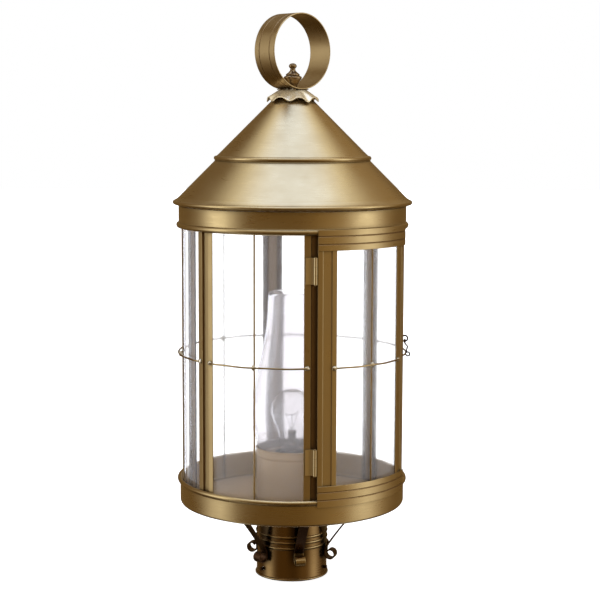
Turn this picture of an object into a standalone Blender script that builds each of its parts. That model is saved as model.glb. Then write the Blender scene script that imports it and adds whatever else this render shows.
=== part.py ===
"""A round post-top lantern: a glass cage with a hinged door, a stepped cone roof, a hoop finial,
and a collar with scroll brackets that slips over a round post of 76 mm (3 in).

Lengths are in metres. The origin is the centre of the collar's mouth, +Z is up and the door faces
-Y. Bearings are in degrees from the door's centre line, positive towards +X.
"""

import math

import bmesh
import bpy
from mathutils import Matrix, Vector

GAP = 0.0003  # between pieces that touch
ROUND_STEPS = 48  # facets round the large turned pieces
PANELS = 6
PANEL = 360 / PANELS

# The collar, its set screws and the scroll brackets.
POST_R = 0.0381
SLIP = 0.0008  # play between post and collar
COLLAR_WALL = 0.0011
COLLAR_R = POST_R + SLIP + COLLAR_WALL
COLLAR_LIP_R = 0.0416
RIB_HEIGHTS = (0.0497, 0.0434, 0.0369)
RIB_PROUD = 0.0010
RIB_HALF = 0.0017
SCREW_R = 0.0020
SCREW_Z = 0.0100
SCREW_LONG = 0.0045
SCREW_BEARINGS = (-95, 25, 145)
STRAP_WIDE = 0.0110
STRAP_THICK = 0.0013
SCROLL_R = 0.0060
SCROLL_Z = 0.0260

# The pan under the glass.
PAN_Z = 0.0856
PAN_R = 0.1268
PAN_WALL = 0.0012
PAN_BEAD_R = 0.0026
PAN_TOP = 0.1146
FLOOR_Z = PAN_Z + PAN_WALL
STAND_Z = FLOOR_Z + GAP
BORE_R = 0.0053

# The cage: posts, panes, wires and the band that joins them at the top.
POST_OUT_R = 0.1245
POST_WIDE = 0.0240
SHEET = 0.0010
GROOVE_HALF = 0.00475
GROOVE_DEEP = 0.0024
PANE_R = 0.1225
PANE_THICK = 0.0016
PANE_HALF = 26.8
WIRE_R = 0.0009
UPRIGHT_R = 0.1239
CROSS_R = 0.1278
CROSS_Z = 0.2561
BAND_R = 0.1270
BAND_WALL = 0.0012
BAND_LOW = 0.3960
BAND_TOP = 0.4204
BAND_BEAD_R = 0.0033

# The door.
DOOR_HALF = 29.3
DOOR_R = 0.1310
DOOR_BAND_THICK = 0.0009
DOOR_BANDS = {"door_top_band": (0.3800, 0.4020), "door_bottom_band": (0.1070, 0.1300)}
STILE_OUT_R = 0.12975
STILE_WIDE = 0.0212
STILE_GROOVE_HALF = 0.0052
STILE_SHEET = 0.0009
STILE_GROOVE = 0.0012
STILE_LOW = 0.1156
STILE_TOP = 0.3950
DOOR_PANE_R = 0.1273
DOOR_PANE_HALF = 25.6
DOOR_UPRIGHT_R = 0.1286
DOOR_CROSS_R = 0.1310

# The hinges and the latch.
HINGE_R = 0.1292
HINGE_BEARING = -30.4
HINGE_LONG = 0.0280
HINGE_LOWS = {"lower": 0.1415, "upper": 0.3450}
KNUCKLE_R = 0.0020
PIN_R = 0.0009
PIN_HOLE_R = 0.0012
LATCH_BEARING = 33.4
LATCH_Z = 0.2755
EYE_R = 0.0032
EYE_WIRE_R = 0.0008
EYE_CENTRE_R = 0.1292
HOOK_EYE_R = 0.0020
HOOK_WIRE_R = 0.0007
HOOK_LONG = 0.0135

# The roof. Each cone slopes at 45 degrees, so radius + height is the same all the way down.
LOWER_SLOPE = 0.5564
UPPER_SLOPE = 0.5595
ROOF_SHEET = 0.0010
UPPER_INSIDE = LOWER_SLOPE + 0.0007
LIP_R = 0.1335
UPPER_TOP_Z = 0.5466
STUD_R = 0.0024
STUD_HOLE_R = 0.0028
PETALS = 8
PETAL_TOP_Z = 0.5480
PETAL_TURN = -4.5
HOOP_R = 0.0416
HOOP_WALL = 0.0012
HOOP_WIDE = 0.0327
HOOP_Z = 0.5900

# The lamp inside.
PEDESTAL_R = 0.0400
PEDESTAL_TOP = 0.1386
PEDESTAL_RIM = 0.1470
SOCKET_R = 0.0195
SOCKET_TOP = 0.1410
SOCKET_BORE_R = 0.0136
SOCKET_FLOOR = STAND_Z + 0.0080
BULB_CAP_R = 0.0130
BULB_R = 0.0240
BULB_TOP = 0.2120
CHIMNEY_WALL = 0.0020


def new_collection(name):
    collection = bpy.data.collections.new(name)
    bpy.context.scene.collection.children.link(collection)
    return collection


def finish(name, colour, metallic, roughness, clear=0.0):
    """A Principled material; clear is how much light it lets through."""
    made = bpy.data.materials.new(name)
    made.use_nodes = True
    shader = made.node_tree.nodes["Principled BSDF"]
    shader.inputs["Base Color"].default_value = (*colour, 1.0)
    shader.inputs["Metallic"].default_value = metallic
    shader.inputs["Roughness"].default_value = roughness
    shader.inputs["Transmission Weight"].default_value = clear
    return made


def polar(radius, bearing, z=0.0):
    turn = math.radians(bearing)
    return Vector((radius * math.sin(turn), -radius * math.cos(turn), z))


def degrees_of(length, radius):
    """The bearing that an arc of this length covers."""
    return math.degrees(length / radius)


def arc(centre, radius, start, end, steps):
    """Points round a centre, from one angle to another, both included."""
    turns = [math.radians(start + (end - start) * i / steps) for i in range(steps + 1)]
    return [(centre[0] + radius * math.cos(t), centre[1] + radius * math.sin(t)) for t in turns]


def smooth_run(points, steps):
    """A Catmull-Rom curve through the points, with this many steps between each pair."""
    points = [Vector(p) for p in points]
    padded = [2 * points[0] - points[1], *points, 2 * points[-1] - points[-2]]
    run = []
    for a, b, c, d in zip(padded, padded[1:], padded[2:], padded[3:]):
        for i in range(steps):
            t = i / steps
            bend = 2 * a - 5 * b + 4 * c - d
            rest = 3 * b - a - 3 * c + d
            run.append(tuple(b + 0.5 * t * ((c - a) + t * (bend + t * rest))))
    return [*run, tuple(points[-1])]


def add(name, data, material, location=(0, 0, 0), bearing=0.0):
    """An object in the parts collection, turned about +Z by its bearing."""
    obj = bpy.data.objects.new(name, data)
    obj.location = location
    obj.rotation_euler.z = math.radians(bearing)
    if not data.materials:
        data.materials.append(material)
    PARTS.objects.link(obj)
    return obj


def turned(name, outline, material, steps=ROUND_STEPS, closed=True):
    """An outline of (radius, height) turned about the axis. It runs down its outer side."""
    mesh = bpy.data.meshes.new(name)
    count = len(outline)
    edges = [(i, (i + 1) % count) for i in range(count if closed else count - 1)]
    mesh.from_pydata([(r, 0, z) for r, z in outline], edges, [])
    obj = add(name, mesh, material)
    screw = obj.modifiers.new("Turn", "SCREW")
    screw.steps = screw.render_steps = steps
    screw.use_merge_vertices = True
    screw.merge_threshold = 0.00001
    return obj


def swept_band(name, outline, half, steps, material):
    """A closed outline of (radius, height) carried round the axis from bearing -half to +half."""
    shape = bmesh.new()
    start = [shape.verts.new(polar(r, -half, z)) for r, z in outline]
    face = shape.faces.new(start)
    bmesh.ops.spin(
        shape,
        geom=[face, *face.edges, *face.verts],
        angle=math.radians(2 * half),
        steps=steps,
        axis=(0, 0, 1),
        cent=(0, 0, 0),
    )
    bmesh.ops.recalc_face_normals(shape, faces=shape.faces)
    mesh = bpy.data.meshes.new(name)
    shape.to_mesh(mesh)
    shape.free()
    return add(name, mesh, material)


def plan_curve(name, points, low, high):
    """A closed outline seen from above, extruded from one height to another."""
    curve = bpy.data.curves.new(name, "CURVE")
    curve.dimensions = "2D"
    curve.fill_mode = "BOTH"
    curve.extrude = (high - low) / 2
    spline = curve.splines.new("POLY")
    spline.points.add(len(points) - 1)
    for point, place in zip(spline.points, points):
        point.co = (place[0], place[1], 0, 1)
    spline.use_cyclic_u = True
    return curve


def wire_curve(name, points, radius, swells=None):
    """A round wire through the points. swells scales its radius at each point."""
    curve = bpy.data.curves.new(name, "CURVE")
    curve.dimensions = "3D"
    curve.bevel_depth = radius
    curve.bevel_resolution = 2
    curve.use_fill_caps = True
    spline = curve.splines.new("POLY")
    spline.points.add(len(points) - 1)
    for i, place in enumerate(points):
        spline.points[i].co = (*place, 1)
        spline.points[i].radius = swells[i] if swells else 1
    return curve


def cutter(name, primitive, **size):
    """A helper that cuts holes and is left out of the model."""
    primitive(**size)
    obj = bpy.context.object
    obj.name = name
    for collection in list(obj.users_collection):
        collection.objects.unlink(obj)
    CUTTERS.objects.link(obj)
    obj.hide_render = True
    obj.display_type = "WIRE"
    return obj


def cut(obj, tool, operation="DIFFERENCE"):
    boolean = obj.modifiers.new(tool.name, "BOOLEAN")
    boolean.operation = operation
    boolean.object = tool


def rod(name, radius, depth, location, rotation=(0, 0, 0), sides=16):
    """A round cutter along its own Z."""
    return cutter(
        name,
        bpy.ops.mesh.primitive_cylinder_add,
        vertices=sides,
        radius=radius,
        depth=depth,
        location=location,
        rotation=rotation,
    )


def radial(bearing):
    """The rotation that lays a shape's Z along the bearing, pointing out."""
    return polar(1, bearing).to_track_quat("Z", "Y").to_euler()


def channel(out_radius, wide, sheet, groove_half, groove_deep):
    """The plan of a strip bent round the axis, with a groove pressed down its middle."""
    taper = 0.3  # degrees that each side of the groove leans in by
    edge = degrees_of(wide / 2, out_radius)
    mouth = degrees_of(groove_half, out_radius)
    wall = degrees_of(sheet, out_radius)
    between = (edge + mouth) / 2
    floor = out_radius - groove_deep
    back = out_radius - sheet
    outside = [(out_radius, edge), (out_radius, between), (out_radius, mouth), (floor, mouth - taper)]
    inside = [(floor - sheet, mouth - taper + wall), (back, mouth + wall), (back, between), (back, edge)]
    left = [(r, -b) for r, b in outside]
    right = [(r, b) for r, b in reversed(outside)]
    back_right = [(r, b) for r, b in reversed(inside)]
    back_left = [(r, -b) for r, b in inside]
    return [polar(r, b) for r, b in left + right + back_right + back_left]


def curved_plate(out_radius, thick, start, end, steps):
    """The plan of a sheet bent round the axis between two bearings."""
    bearings = [start + (end - start) * i / steps for i in range(steps + 1)]
    outer = [polar(out_radius, b) for b in bearings]
    inner = [polar(out_radius - thick, b) for b in reversed(bearings)]
    return outer + inner


def make_collar():
    """A slip collar with three pressed ribs and a flared mouth."""
    top = PAN_Z - GAP
    outline = [(COLLAR_R, top)]
    for height in RIB_HEIGHTS:
        outline += [
            (COLLAR_R, height + RIB_HALF),
            (COLLAR_R + RIB_PROUD, height + RIB_HALF / 2),
            (COLLAR_R + RIB_PROUD, height - RIB_HALF / 2),
            (COLLAR_R, height - RIB_HALF),
        ]
    outline += [(COLLAR_R, 0.0042), (COLLAR_LIP_R, 0.0016), (COLLAR_LIP_R, 0.0)]
    outline += [(COLLAR_LIP_R - COLLAR_WALL, 0.0), (COLLAR_R - COLLAR_WALL, 0.0036)]
    outline += [(COLLAR_R - COLLAR_WALL, top)]
    collar = turned("collar", outline, BRASS_DARK, 36)
    for number, bearing in enumerate(SCREW_BEARINGS, 1):
        place = polar(COLLAR_R, bearing, SCREW_Z)
        cut(collar, rod(f"screw_hole_{number}", SCREW_R + GAP, 0.010, place, radial(bearing)))


def make_set_screws():
    """Slotted grub screws, backed out until they clear the post."""
    middle = COLLAR_R - COLLAR_WALL + 0.0001 + SCREW_LONG / 2
    mesh = bpy.data.meshes.new("set_screw")
    shape = bmesh.new()
    bmesh.ops.create_cone(
        shape, cap_ends=True, segments=16, radius1=SCREW_R * 0.7, radius2=SCREW_R, depth=SCREW_LONG
    )
    shape.to_mesh(mesh)
    shape.free()
    for number, bearing in enumerate(SCREW_BEARINGS, 1):
        screw = add(f"set_screw_{number}", mesh, BRASS_DARK, polar(middle, bearing, SCREW_Z))
        screw.rotation_euler = radial(bearing)
        head = polar(middle + SCREW_LONG / 2, bearing, SCREW_Z)
        slot = cutter(f"slot_{number}", bpy.ops.mesh.primitive_cube_add, size=1, location=head)
        slot.scale = (0.006, 0.0006, 0.0016)
        slot.rotation_euler = radial(bearing)
        cut(screw, slot)


def scroll_path():
    """The strap's line in its own plane: a foot under the pan, a slope, and a curl at the collar."""
    foot_z = PAN_Z - GAP - STRAP_THICK / 2
    inner = COLLAR_R + STRAP_THICK / 2 + 0.0004
    slope = [(0.0915, foot_z), (0.0830, foot_z), (0.0808, foot_z - 0.0010)]
    slope += [(inner + 0.0016, 0.0345), (inner, 0.0315)]
    curl = []
    turns = 15
    for i in range(turns + 1):
        share = i / turns
        angle = math.radians(180 + 330 * share)
        radius = SCROLL_R - 0.0021 * max(0.0, share - 0.35) / 0.65
        curl.append((inner + SCROLL_R + radius * math.cos(angle), SCROLL_Z + radius * math.sin(angle)))
    return slope + curl


def make_brackets():
    """Six flat straps from the pan down to the collar, each ending in an outward curl."""
    curve = bpy.data.curves.new("scroll_bracket", "CURVE")
    curve.dimensions = "3D"
    curve.extrude = STRAP_WIDE / 2
    path = scroll_path()
    spline = curve.splines.new("POLY")
    spline.points.add(len(path) - 1)
    for point, (r, z) in zip(spline.points, path):
        point.co = (r, z, 0, 1)
    for panel in range(PANELS):
        bearing = PANEL / 2 + PANEL * panel
        bracket = add(f"scroll_bracket_{panel + 1}", curve, BRONZE)
        out, up = polar(1, bearing), Vector((0, 0, 1))
        bracket.matrix_world = Matrix((out, up, out.cross(up))).transposed().to_4x4()
        solid = bracket.modifiers.new("Thickness", "SOLIDIFY")
        solid.thickness = STRAP_THICK
        solid.offset = 0
        solid.use_even_offset = True


def make_pan():
    """The dish that the cage stands in, with a rolled rim and a bore for the socket's bolt."""
    bead = (PAN_R + 0.0004, PAN_TOP - PAN_BEAD_R)
    inner = PAN_R - PAN_WALL
    outline = [(inner, PAN_TOP), *arc(bead, PAN_BEAD_R, 90, -80, 6)]
    outline += [(PAN_R, bead[1] - PAN_BEAD_R - 0.0006), (PAN_R, PAN_Z + 0.0022)]
    outline += [(PAN_R - 0.0007, PAN_Z + 0.0006), (PAN_R - 0.0024, PAN_Z)]
    outline += [(BORE_R, PAN_Z), (BORE_R, FLOOR_Z), (inner - 0.0004, FLOOR_Z), (inner, FLOOR_Z + 0.0004)]
    turned("pan", outline, BRASS)


def make_posts():
    """Six channel strips that stand in the pan and run up inside the band."""
    plan = channel(POST_OUT_R, POST_WIDE, SHEET, GROOVE_HALF, GROOVE_DEEP)
    low, high = STAND_Z + 0.0001, BAND_TOP - 0.0004
    curve = plan_curve("post", plan, low, high)
    for panel in range(PANELS):
        bearing = -PANEL / 2 + PANEL * panel
        add(f"post_{panel + 1}", curve, BRASS, (0, 0, (low + high) / 2), bearing)


def make_fixed_panels():
    """The five panes beside the door, each with an upright and a cross wire in front of it."""
    low, high = STAND_Z + 0.0001, BAND_TOP - 0.0020
    pane = plan_curve("pane", curved_plate(PANE_R, PANE_THICK, -PANE_HALF, PANE_HALF, 12), low, high)
    ends = [polar(UPRIGHT_R, 0, low), polar(UPRIGHT_R, 0, high)]
    upright = wire_curve("upright_wire", ends, WIRE_R)
    foot_r = POST_OUT_R + GAP + 0.0011
    cross = cross_wire("cross_wire", CROSS_R, foot_r, PANEL / 2 - degrees_of(0.0085, POST_OUT_R))
    for panel in range(1, PANELS):
        bearing = PANEL * panel
        add(f"pane_{panel}", pane, GLASS, (0, 0, (low + high) / 2), bearing)
        add(f"upright_wire_{panel}", upright, BRASS, bearing=bearing)
        add(f"cross_wire_{panel}", cross, BRASS, bearing=bearing)


def cross_wire(name, radius, end_radius, half):
    """A wire bent round the cage, with a drop of solder at each end and at the crossing."""
    steps = 8
    points, swells = [], []
    for i in range(steps + 1):
        share = abs(2 * i / steps - 1)
        reach = end_radius if share == 1 else radius
        points.append(polar(reach, half * (2 * i / steps - 1), CROSS_Z))
        swells.append({0: 1.5, 1: 1.25}.get(share, 1))
    return wire_curve(name, points, WIRE_R, swells)


def make_top_band():
    """The hoop that joins the posts, with a bead round its lower edge."""
    inner = BAND_R - BAND_WALL
    bead = (BAND_R - 0.0007, BAND_LOW + BAND_BEAD_R)
    outline = [(BAND_R, BAND_TOP), (BAND_R, bead[1] + BAND_BEAD_R + 0.0004)]
    outline += arc(bead, BAND_BEAD_R, 65, -90, 6)
    outline += [(inner, BAND_LOW), (inner, BAND_TOP)]
    turned("top_band", outline, BRASS)


def make_door_frame():
    """The door's two bands, its stiles, its pane and its wires."""
    inner = DOOR_R - DOOR_BAND_THICK
    for name, (low, high) in DOOR_BANDS.items():
        outline = [(inner, high), (DOOR_R, high)]
        for groove in (high - 0.0068, high - 0.0152):
            outline += [
                (DOOR_R, groove + 0.0006),
                (DOOR_R - 0.0004, groove),
                (DOOR_R, groove - 0.0006),
            ]
        outline += [(DOOR_R, low), (inner, low)]
        swept_band(name, outline, DOOR_HALF, 12, BRASS)

    stile = channel(STILE_OUT_R, STILE_WIDE, STILE_SHEET, STILE_GROOVE_HALF, STILE_GROOVE)
    middle = (STILE_LOW + STILE_TOP) / 2
    stile_curve = plan_curve("stile", stile, STILE_LOW, STILE_TOP)
    stile_bearing = DOOR_HALF - degrees_of(STILE_WIDE / 2, STILE_OUT_R)
    for name, side in (("door_hinge_stile", -1), ("door_latch_stile", 1)):
        add(name, stile_curve, BRASS, (0, 0, middle), side * stile_bearing)

    low, high = STILE_LOW + 0.0010, STILE_TOP - 0.0005
    pane = curved_plate(DOOR_PANE_R, PANE_THICK, -DOOR_PANE_HALF, DOOR_PANE_HALF, 12)
    add("door_pane", plan_curve("door_pane", pane, low, high), GLASS, (0, 0, (low + high) / 2))
    ends = [polar(DOOR_UPRIGHT_R, 0, low), polar(DOOR_UPRIGHT_R, 0, high)]
    add("door_upright_wire", wire_curve("door_upright_wire", ends, WIRE_R), BRASS)
    reach = stile_bearing - degrees_of(0.0080, STILE_OUT_R)
    radius = DOOR_CROSS_R + 0.0002
    cross = cross_wire("door_cross_wire", radius, radius + 0.0002, reach)
    add("door_cross_wire", cross, BRASS)


def make_hinges():
    """Two butt hinges: a bent leaf on the post, a leaf under the stile, and a headed pin."""
    third = HINGE_LONG / 3
    axis = polar(HINGE_R, HINGE_BEARING)
    out = polar(1, HINGE_BEARING)
    along = Vector((-out.y, out.x, 0))

    def world(points):
        return [axis + along * x + out * y for x, y in points]

    face = POST_OUT_R + GAP - HINGE_R
    post_leaf = [
        (-0.0012, -0.0016),
        (-0.0044, face + SHEET),
        (-0.0100, face + SHEET + 0.0004),
        (-0.0100, face + 0.0004),
        (-0.0036, face),
        (0.0004, -0.0018),
    ]
    door_leaf = [(0, -0.0008), (0.0070, -0.0010), (0.0070, -0.0018), (0, -0.0016)]
    for place, low in HINGE_LOWS.items():
        high = low + HINGE_LONG
        spans = {
            f"{place}_hinge_post_leaf": (post_leaf, [(low, low + third), (high - third, high)]),
            f"{place}_hinge_door_leaf": (door_leaf, [(low + third + GAP, high - third - GAP)]),
        }
        for name, (leaf, barrels) in spans.items():
            leaf_low, leaf_high = barrels[0][0], barrels[-1][1]
            make_hinge_leaf(name, world(leaf), axis, barrels, leaf_low, leaf_high)
        make_hinge_pin(f"{place}_hinge_pin", axis, low, high)


def make_hinge_leaf(name, plan, axis, barrels, low, high):
    """A plate with knuckles joined to it, bored for the pin and cut back between the knuckles."""
    middle = (low + high) / 2
    plate = add(name + "_plate", plan_curve(name, plan, low, high), BRASS, (0, 0, middle))
    leaf = as_mesh(plate, name)
    for number, (start, end) in enumerate(barrels, 1):
        centre = axis + Vector((0, 0, (start + end) / 2))
        cut(leaf, rod(f"{name}_knuckle_{number}", KNUCKLE_R, end - start, centre), "UNION")
    if len(barrels) > 1:
        start, end = barrels[0][1], barrels[1][0]
        centre = axis + Vector((0, 0, (start + end) / 2))
        cut(leaf, rod(f"{name}_window", KNUCKLE_R + 0.0005, end - start, centre))
    cut(leaf, rod(f"{name}_bore", PIN_HOLE_R, HINGE_LONG + 0.002, axis + Vector((0, 0, middle))))


def make_hinge_pin(name, axis, low, high):
    """A pin with a shallow head at each end."""
    head_r, head = 0.0016, 0.0009
    outline = [(0, high + GAP + head), (head_r * 0.6, high + GAP + head), (head_r, high + GAP + head / 2)]
    outline += [(head_r, high + GAP), (PIN_R, high + GAP), (PIN_R, low - GAP)]
    outline += [(head_r, low - GAP), (head_r, low - GAP - head / 2)]
    outline += [(head_r * 0.6, low - GAP - head), (0, low - GAP - head)]
    pin = turned(name, outline, BRASS, 12, closed=False)
    pin.location = axis


def as_mesh(obj, name):
    """The curve object made a mesh of the same place, with its caps welded."""
    bpy.context.view_layer.update()
    graph = bpy.context.evaluated_depsgraph_get()
    mesh = bpy.data.meshes.new_from_object(obj.evaluated_get(graph))
    shape = bmesh.new()
    shape.from_mesh(mesh)
    bmesh.ops.remove_doubles(shape, verts=shape.verts, dist=0.00001)
    bmesh.ops.recalc_face_normals(shape, faces=shape.faces)
    shape.to_mesh(mesh)
    shape.free()
    made = add(name, mesh, obj.data.materials[0])
    made.matrix_world = obj.matrix_world
    bpy.data.objects.remove(obj)
    return made


def make_latch():
    """A wire eye on the post, and a hook that hangs in it and swings across the door's edge."""
    out = polar(1, LATCH_BEARING)
    along = Vector((out.y, -out.x, 0))
    up = Vector((0, 0, 1))
    centre = polar(EYE_CENTRE_R, LATCH_BEARING, LATCH_Z)
    stem = polar(POST_OUT_R + GAP, LATCH_BEARING, LATCH_Z)
    ring = [centre + out * x + up * y for x, y in arc((0, 0), EYE_R, 180, -145, 14)]
    add("latch_eye", wire_curve("latch_eye", [stem, *ring], EYE_WIRE_R), BRONZE)

    pivot = centre - up * EYE_R
    loop = [pivot + along * x + up * y for x, y in arc((0, 0), HOOK_EYE_R, -25, 262, 11)]
    bottom = -HOOK_EYE_R
    arm = [(0, 0.0006, bottom - 0.0012), (0, 0.0022, bottom - 0.0036)]
    arm += [(0, 0.0023, bottom - HOOK_LONG + 0.0025), (0, 0.0034, bottom - HOOK_LONG)]
    reach = [pivot + along * x + out * y + up * z for x, y, z in arm]
    add("latch_hook", wire_curve("latch_hook", loop + reach, HOOK_WIRE_R), BRONZE)


def make_lower_cone():
    """The wide cone, with a rolled lip that overhangs the band."""
    under = BAND_TOP + GAP + 0.0001
    tip = (LIP_R - 0.0022, 0.4242)
    outline = [(0.0760, LOWER_SLOPE - 0.0760), (0.1245, LOWER_SLOPE - 0.1245)]
    outline += [(0.1264, 0.4298), (0.1290, 0.4279), *arc(tip, 0.0022, 80, -80, 5)]
    outline += [(0.1290, 0.4212), (BAND_R + 0.0006, under), (BAND_R - 0.0024, under)]
    inside = LOWER_SLOPE - ROOF_SHEET * math.sqrt(2)
    outline += [(0.1240, inside - 0.1240), (0.0760 - 0.0007, inside - 0.0760 + 0.0007)]
    turned("lower_cone", outline, BRASS)


def make_upper_cone():
    """The steep cone that sits on the lower one, with a rounded hem and a flat top for the stud."""
    outline = [(STUD_HOLE_R, UPPER_TOP_Z), (UPPER_SLOPE - UPPER_TOP_Z, UPPER_TOP_Z)]
    outline += [(0.0815, UPPER_SLOPE - 0.0815), (0.0832, 0.4766)]
    outline += arc((0.0853, 0.4729), 0.0023, 80, -50, 5)
    outline += [(UPPER_INSIDE - 0.4702, 0.4702), (UPPER_INSIDE - 0.5450, 0.5450), (STUD_HOLE_R, 0.5450)]
    turned("upper_cone", outline, BRASS)


def make_petal_cap():
    """A fluted cap: a flat disc that turns down into eight petals, with its edge raised between them."""
    around, wall = 48, 0.0012
    rows = [(STUD_HOLE_R, 0.0), (0.0090, 0.0), (0.0146, 0.0), (0.0160, 0.0007)]
    shape = bmesh.new()
    grid = []
    for r, drop in rows:
        grid.append([polar(r, 360 * i / around, PETAL_TOP_Z - wall / 2 - drop) for i in range(around)])
    for share in (0.35, 0.7, 1.0):
        ring = []
        for i in range(around):
            bearing = 360 * i / around
            petal = 0.5 + 0.5 * math.cos(math.radians(PETALS * (bearing - PETAL_TURN)))
            reach = 0.0160 + (0.0120 + 0.0006 * petal) * share
            drop = 0.0007 + (0.0065 + 0.0076 * petal**1.2) * share - 0.0008 * share * (1 - share)
            ring.append(polar(reach, bearing, PETAL_TOP_Z - wall / 2 - drop))
        grid.append(ring)
    verts = [[shape.verts.new(place) for place in ring] for ring in grid]
    for upper, lower in zip(verts, verts[1:]):
        for i in range(around):
            after = (i + 1) % around
            shape.faces.new((upper[i], lower[i], lower[after], upper[after]))
    mesh = bpy.data.meshes.new("petal_cap")
    shape.to_mesh(mesh)
    shape.free()
    cap = add("petal_cap", mesh, BRASS)
    solid = cap.modifiers.new("Sheet", "SOLIDIFY")
    solid.thickness = wall
    solid.offset = 0
    solid.use_even_offset = True


def make_hoop():
    """The broad hoop on top, with a line pressed near each edge and a hole for the finial's stud."""
    half, groove = HOOP_WIDE / 2, 0.0003
    outline = [(HOOP_R - 0.0003, half), (HOOP_R, half - 0.0004)]
    for line in (0.0083, -0.0083):
        outline += [(HOOP_R, line + 0.0006), (HOOP_R - groove, line), (HOOP_R, line - 0.0006)]
    outline += [(HOOP_R, -half + 0.0004), (HOOP_R - 0.0003, -half)]
    outline += [(HOOP_R - HOOP_WALL, -half), (HOOP_R - HOOP_WALL, half)]
    hoop = turned("hoop", outline, BRASS, 44)
    hoop.rotation_euler.x = math.radians(90)
    hoop.location.z = HOOP_Z
    cut(hoop, rod("hoop_hole", STUD_HOLE_R, 0.010, (0, 0, HOOP_Z - HOOP_R), sides=16))


def make_finial():
    """A turned finial whose stud passes through the hoop and the cap into the roof."""
    seat = HOOP_Z - HOOP_R + HOOP_WALL + GAP + 0.0004
    outline = arc((0, 0.5739), 0.0032, 90, -36, 6)
    outline[0] = (0, outline[0][1])
    outline += [(0.0027, 0.5700), (0.0034, 0.5668), (0.0058, 0.5654), (0.0066, 0.5638), (0.0085, 0.5622)]
    outline += [(0.0089, 0.5609), (0.0085, 0.5597), (0.0073, 0.5583), (0.0063, 0.5560), (0.0048, 0.5530)]
    outline += [(0.0046, seat)]
    outline += [(STUD_R, seat), (STUD_R, 0.5370), (STUD_R * 0.7, 0.5362), (0, 0.5362)]
    turned("finial", outline, BRASS, 18, closed=False)


def make_finial_nut():
    """The hexagon nut under the cone's flat top."""
    mesh = bpy.data.meshes.new("finial_nut")
    shape = bmesh.new()
    bmesh.ops.create_cone(shape, cap_ends=True, segments=6, radius1=0.0055, radius2=0.0055, depth=0.0040)
    shape.to_mesh(mesh)
    shape.free()
    middle = 0.5450 - GAP - 0.0020
    nut = add("finial_nut", mesh, STEEL, (0, 0, middle))
    cut(nut, rod("nut_bore", STUD_R + GAP, 0.010, (0, 0, middle), sides=16))


def make_pedestal():
    """The drum that hides the socket. Its rim holds the chimney's foot."""
    wall = 0.0012
    inner = PEDESTAL_R - wall
    shelf = PEDESTAL_TOP - wall
    mouth = SOCKET_R + 0.0008
    outline = [(PEDESTAL_R + 0.0002, PEDESTAL_RIM), (PEDESTAL_R + 0.0012, PEDESTAL_RIM - 0.0010)]
    outline += [(PEDESTAL_R + 0.0012, PEDESTAL_RIM - 0.0020), (PEDESTAL_R + 0.0008, PEDESTAL_RIM - 0.0030)]
    outline += [(PEDESTAL_R + 0.0008, PEDESTAL_TOP), (PEDESTAL_R, shelf - 0.0012), (PEDESTAL_R, STAND_Z)]
    outline += [(inner, STAND_Z), (inner, shelf), (mouth, shelf), (mouth, PEDESTAL_TOP)]
    outline += [(PEDESTAL_R - 0.0003, PEDESTAL_TOP), (PEDESTAL_R - 0.0003, PEDESTAL_RIM)]
    turned("pedestal", outline, BRASS_DARK, 32)


def make_socket():
    """The moulded lamp holder, open at the top, with a hole for its bolt."""
    outline = [(SOCKET_R - 0.0006, SOCKET_TOP), (SOCKET_R, SOCKET_TOP - 0.0006)]
    outline += [(SOCKET_R, STAND_Z + 0.0120), (SOCKET_R - 0.0035, STAND_Z)]
    outline += [(BORE_R, STAND_Z), (BORE_R, SOCKET_FLOOR), (SOCKET_BORE_R, SOCKET_FLOOR)]
    outline += [(SOCKET_BORE_R, SOCKET_TOP - 0.0008), (SOCKET_BORE_R + 0.0008, SOCKET_TOP)]
    turned("socket", outline, MOULDING, 24)


def make_socket_bolt():
    """A hollow bolt from below: its hexagon head clamps the pan, its shank holds the socket."""
    head, shank_r, hollow_r = 0.0040, 0.0049, 0.0032
    top = PAN_Z - GAP
    mesh = bpy.data.meshes.new("socket_bolt")
    shape = bmesh.new()
    bmesh.ops.create_cone(shape, cap_ends=True, segments=6, radius1=0.0085, radius2=0.0085, depth=head)
    shape.to_mesh(mesh)
    shape.free()
    bolt = add("socket_bolt", mesh, STEEL, (0, 0, top - head / 2))
    length = 0.0115
    middle = top - 0.0010 + length / 2
    cut(bolt, rod("bolt_shank", shank_r, length, (0, 0, middle)), "UNION")
    cut(bolt, rod("bolt_hollow", hollow_r, 0.060, (0, 0, middle)))


def make_bulb():
    """A clear lamp in its screw cap, as one closed outer form."""
    low = SOCKET_FLOOR + 0.0016
    top_of_cap = low + 0.0245
    cap = [(BULB_CAP_R, top_of_cap), (BULB_CAP_R, low + 0.0050), (0.0070, low), (0, low)]
    globe_z = BULB_TOP - BULB_R
    globe = arc((0, globe_z), BULB_R, 90, -28, 9)
    globe[0] = (0, BULB_TOP)
    neck = [(0.0168, globe_z - 0.0208), (0.0142, globe_z - 0.0310), (0.0128, SOCKET_TOP + 0.0030)]
    neck += [(0.0128, top_of_cap + 0.0030)]
    turned("bulb", globe + neck + cap, GLASS, 20, closed=False)


def make_chimney():
    """The glass chimney: a straight foot, a low belly and a long taper to an open top."""
    foot = PEDESTAL_TOP + GAP + 0.0001
    line = [(0.0255, 0.3220), (0.0285, 0.2800), (0.0385, 0.2330), (0.0468, 0.1870)]
    line += [(0.0405, 0.1550), (0.0380, 0.1460), (0.0380, foot)]
    chimney = turned("chimney", smooth_run(line, 2), GLASS, 28, closed=False)
    solid = chimney.modifiers.new("Glass", "SOLIDIFY")
    solid.thickness = CHIMNEY_WALL
    solid.offset = 0


def shade_smooth_all():
    """Smooth shading that breaks at hard edges, where an object's mesh is its own."""
    for obj in PARTS.objects:
        if obj.type == "MESH":
            obj.data.shade_smooth()
        for modifier in obj.modifiers:
            if modifier.type == "SCREW":
                modifier.use_smooth_shade = True


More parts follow.
